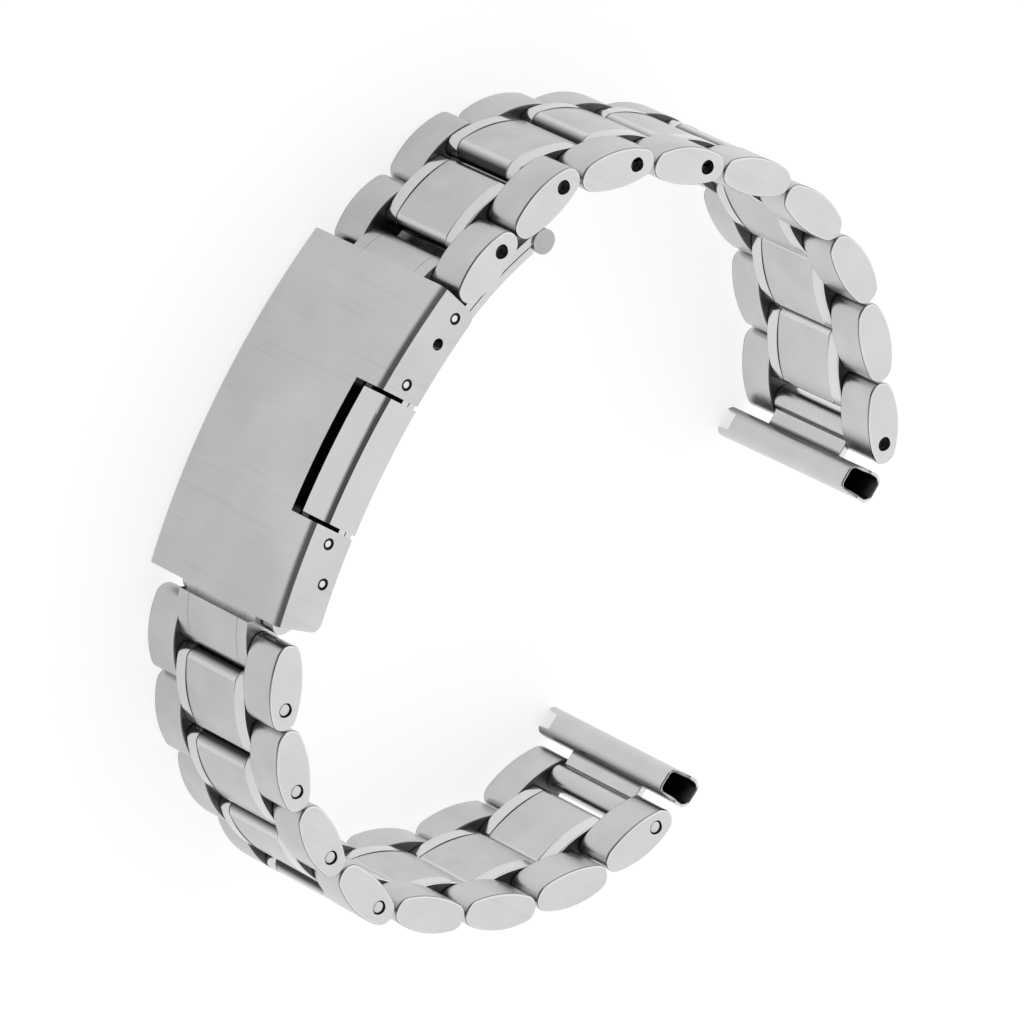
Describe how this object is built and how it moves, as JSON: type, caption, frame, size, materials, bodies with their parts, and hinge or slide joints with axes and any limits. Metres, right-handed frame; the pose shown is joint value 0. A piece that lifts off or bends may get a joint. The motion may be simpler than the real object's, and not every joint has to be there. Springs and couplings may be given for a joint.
{
  "type": "watch_bracelet",
  "caption": "Steel watch bracelet with H-shaped link rows, polished strips beside the centre links, a folding clasp with a push button and straight 20 mm end sleeves.",
  "frame": {"origin": "Middle of the bracelet's box, at the level of the surface on which it stands on its edge.", "axes": "Z runs along every hinge pin, across the bracelet's width. X runs along the clasp towards the upper half, Y away from the wrist at the clasp."},
  "size_m": [0.0752, 0.059, 0.0201],
  "materials": {
    "brushed_steel": "brushed",
    "satin_steel": "satin",
    "polished_steel": "polished",
    "pin_steel": "polished",
    "spring_steel": "polished"
  },
  "bodies": {
    "clasp_body": {"clasp_cover": "brushed_steel", "button_frame": "satin_steel", "frame_rivets": "pin_steel", "cover_hinge_pin": "pin_steel", "adjust_spring_bar": "pin_steel", "button_springs": "spring_steel"},
    "button": {"push_button": "polished_steel"},
    "upper_blade": {"centre_blade": "satin_steel", "fold_hinge_pin": "pin_steel"},
    "lower_blade": {"inner_blade": "satin_steel", "catch_post": "pin_steel", "blade_spring_bar": "pin_steel"},
    "upper_row_1": {"upper_row_1_plates": "brushed_steel", "upper_row_1_centre": "brushed_steel", "upper_row_1_split_pin": "pin_steel"},
    "upper_row_2": {"upper_row_2_plates": "brushed_steel", "upper_row_2_centre": "brushed_steel", "upper_row_2_split_pin": "pin_steel"},
    "upper_row_3": {"upper_row_3_plates": "brushed_steel", "upper_row_3_centre": "brushed_steel", "upper_row_3_split_pin": "pin_steel"},
    "upper_row_4": {"upper_row_4_plates": "brushed_steel", "upper_row_4_centre": "brushed_steel", "upper_row_4_split_pin": "pin_steel"},
    "upper_row_5": {"upper_row_5_plates": "brushed_steel", "upper_row_5_centre": "brushed_steel"},
    "upper_row_6": {"upper_row_6_plates": "brushed_steel", "upper_row_6_centre": "brushed_steel"},
    "upper_row_7": {"upper_row_7_plates": "brushed_steel", "upper_row_7_centre": "brushed_steel"},
    "upper_row_8": {"upper_row_8_plates": "brushed_steel", "upper_row_8_centre": "brushed_steel"},
    "upper_row_9": {"upper_row_9_plates": "brushed_steel", "upper_row_9_centre": "brushed_steel", "upper_row_9_split_pin": "pin_steel"},
    "upper_sleeve": {"end_sleeve_upper": "satin_steel"},
    "lower_row_1": {"lower_row_1_plates": "brushed_steel", "lower_row_1_centre": "brushed_steel", "lower_row_1_split_pin": "pin_steel"},
    "lower_row_2": {"lower_row_2_plates": "brushed_steel", "lower_row_2_centre": "brushed_steel", "lower_row_2_split_pin": "pin_steel"},
    "lower_row_3": {"lower_row_3_plates": "brushed_steel", "lower_row_3_centre": "brushed_steel", "lower_row_3_split_pin": "pin_steel"},
    "lower_row_4": {"lower_row_4_plates": "brushed_steel", "lower_row_4_centre": "brushed_steel", "lower_row_4_split_pin": "pin_steel"},
    "lower_row_5": {"lower_row_5_plates": "brushed_steel", "lower_row_5_centre": "brushed_steel"},
    "lower_row_6": {"lower_row_6_plates": "brushed_steel", "lower_row_6_centre": "brushed_steel"},
    "lower_row_7": {"lower_row_7_plates": "brushed_steel", "lower_row_7_centre": "brushed_steel"},
    "lower_row_8": {"lower_row_8_plates": "brushed_steel", "lower_row_8_centre": "brushed_steel", "lower_row_8_split_pin": "pin_steel"},
    "lower_sleeve": {"end_sleeve_lower": "satin_steel"}
  },
  "joints": [
    {"name": "button_press", "type": "slide", "parent": "clasp_body", "child": "button", "axis": [0, 0, -1], "range_m": [0, 0.001], "stiffness_N_per_m": 400, "deforming": ["button_springs"]},
    {"name": "cover_fold", "type": "hinge", "parent": "clasp_body", "child": "upper_blade", "pos_m": [-0.01282, 0.02513, 0.0099], "axis": [0, 0, 1], "range_deg": [-110, 0]},
    {"name": "blade_fold", "type": "hinge", "parent": "upper_blade", "child": "lower_blade", "pos_m": [0.02203, 0.0181, 0.0099], "axis": [0, 0, 1], "range_deg": [0, 176]},
    {"name": "upper_row_1_bend", "type": "hinge", "parent": "clasp_body", "child": "upper_row_1", "pos_m": [0.01256, 0.02505, 0.0099], "axis": [0, 0, 1], "range_deg": [-4, 3]},
    {"name": "upper_row_2_bend", "type": "hinge", "parent": "upper_row_1", "child": "upper_row_2", "pos_m": [0.01951, 0.02329, 0.0099], "axis": [0, 0, 1], "range_deg": [-10, 14.4]},
    {"name": "upper_row_3_bend", "type": "hinge", "parent": "upper_row_2", "child": "upper_row_3", "pos_m": [0.02689, 0.02019, 0.0099], "axis": [0, 0, 1], "range_deg": [-3, 39]},
    {"name": "upper_row_4_bend", "type": "hinge", "parent": "upper_row_3", "child": "upper_row_4", "pos_m": [0.03161, 0.01374, 0.0099], "axis": [0, 0, 1], "range_deg": [-17.6, 24.4]},
    {"name": "upper_row_5_bend", "type": "hinge", "parent": "upper_row_4", "child": "upper_row_5", "pos_m": [0.03432, 0.00621, 0.0099], "axis": [0, 0, 1], "range_deg": [-26.7, 15.3]},
    {"name": "upper_row_6_bend", "type": "hinge", "parent": "upper_row_5", "child": "upper_row_6", "pos_m": [0.03605, -0.0016, 0.0099], "axis": [0, 0, 1], "range_deg": [-14, 28]},
    {"name": "upper_row_7_bend", "type": "hinge", "parent": "upper_row_6", "child": "upper_row_7", "pos_m": [0.03501, -0.00953, 0.0099], "axis": [0, 0, 1], "range_deg": [-17.5, 24.5]},
    {"name": "upper_row_8_bend", "type": "hinge", "parent": "upper_row_7", "child": "upper_row_8", "pos_m": [0.03175, -0.01684, 0.0099], "axis": [0, 0, 1], "range_deg": [-16, 26]},
    {"name": "upper_row_9_bend", "type": "hinge", "parent": "upper_row_8", "child": "upper_row_9", "pos_m": [0.0264, -0.02279, 0.0099], "axis": [0, 0, 1], "range_deg": [-24.9, 17.1]},
    {"name": "upper_sleeve_turn", "type": "hinge", "parent": "upper_row_9", "child": "upper_sleeve", "pos_m": [0.02017, -0.02781, 0.0099], "axis": [0, 0, 1], "range_deg": [-15, 42.9]},
    {"name": "lower_row_1_bend", "type": "hinge", "parent": "lower_blade", "child": "lower_row_1", "pos_m": [-0.01742, 0.02475, 0.0099], "axis": [0, 0, 1], "range_deg": [-2, 30]},
    {"name": "lower_row_2_bend", "type": "hinge", "parent": "lower_row_1", "child": "lower_row_2", "pos_m": [-0.02397, 0.02217, 0.0099], "axis": [0, 0, 1], "range_deg": [-21.7, 16.3]},
    {"name": "lower_row_3_bend", "type": "hinge", "parent": "lower_row_2", "child": "lower_row_3", "pos_m": [-0.0299, 0.0168, 0.0099], "axis": [0, 0, 1], "range_deg": [-26.2, 11.8]},
    {"name": "lower_row_4_bend", "type": "hinge", "parent": "lower_row_3", "child": "lower_row_4", "pos_m": [-0.03385, 0.00984, 0.0099], "axis": [0, 0, 1], "range_deg": [-21.5, 16.5]},
    {"name": "lower_row_5_bend", "type": "hinge", "parent": "lower_row_4", "child": "lower_row_5", "pos_m": [-0.03607, 0.00215, 0.0099], "axis": [0, 0, 1], "range_deg": [-36.7, 1.3]},
    {"name": "lower_row_6_bend", "type": "hinge", "parent": "lower_row_5", "child": "lower_row_6", "pos_m": [-0.03432, -0.00565, 0.0099], "axis": [0, 0, 1], "range_deg": [-18.6, 19.4]},
    {"name": "lower_row_7_bend", "type": "hinge", "parent": "lower_row_6", "child": "lower_row_7", "pos_m": [-0.03117, -0.013, 0.0099], "axis": [0, 0, 1], "range_deg": [-23, 15]},
    {"name": "lower_row_8_bend", "type": "hinge", "parent": "lower_row_7", "child": "lower_row_8", "pos_m": [-0.02622, -0.01929, 0.0099], "axis": [0, 0, 1], "range_deg": [-27.8, 10.2]},
    {"name": "lower_sleeve_turn", "type": "hinge", "parent": "lower_row_8", "child": "lower_sleeve", "pos_m": [-0.01944, -0.02353, 0.0099], "axis": [0, 0, 1], "range_deg": [-23.6, 35]}
  ],
  "couplings": [
    {"joint": "blade_fold", "follows": "cover_fold", "ratio": -1.6}
  ]
}
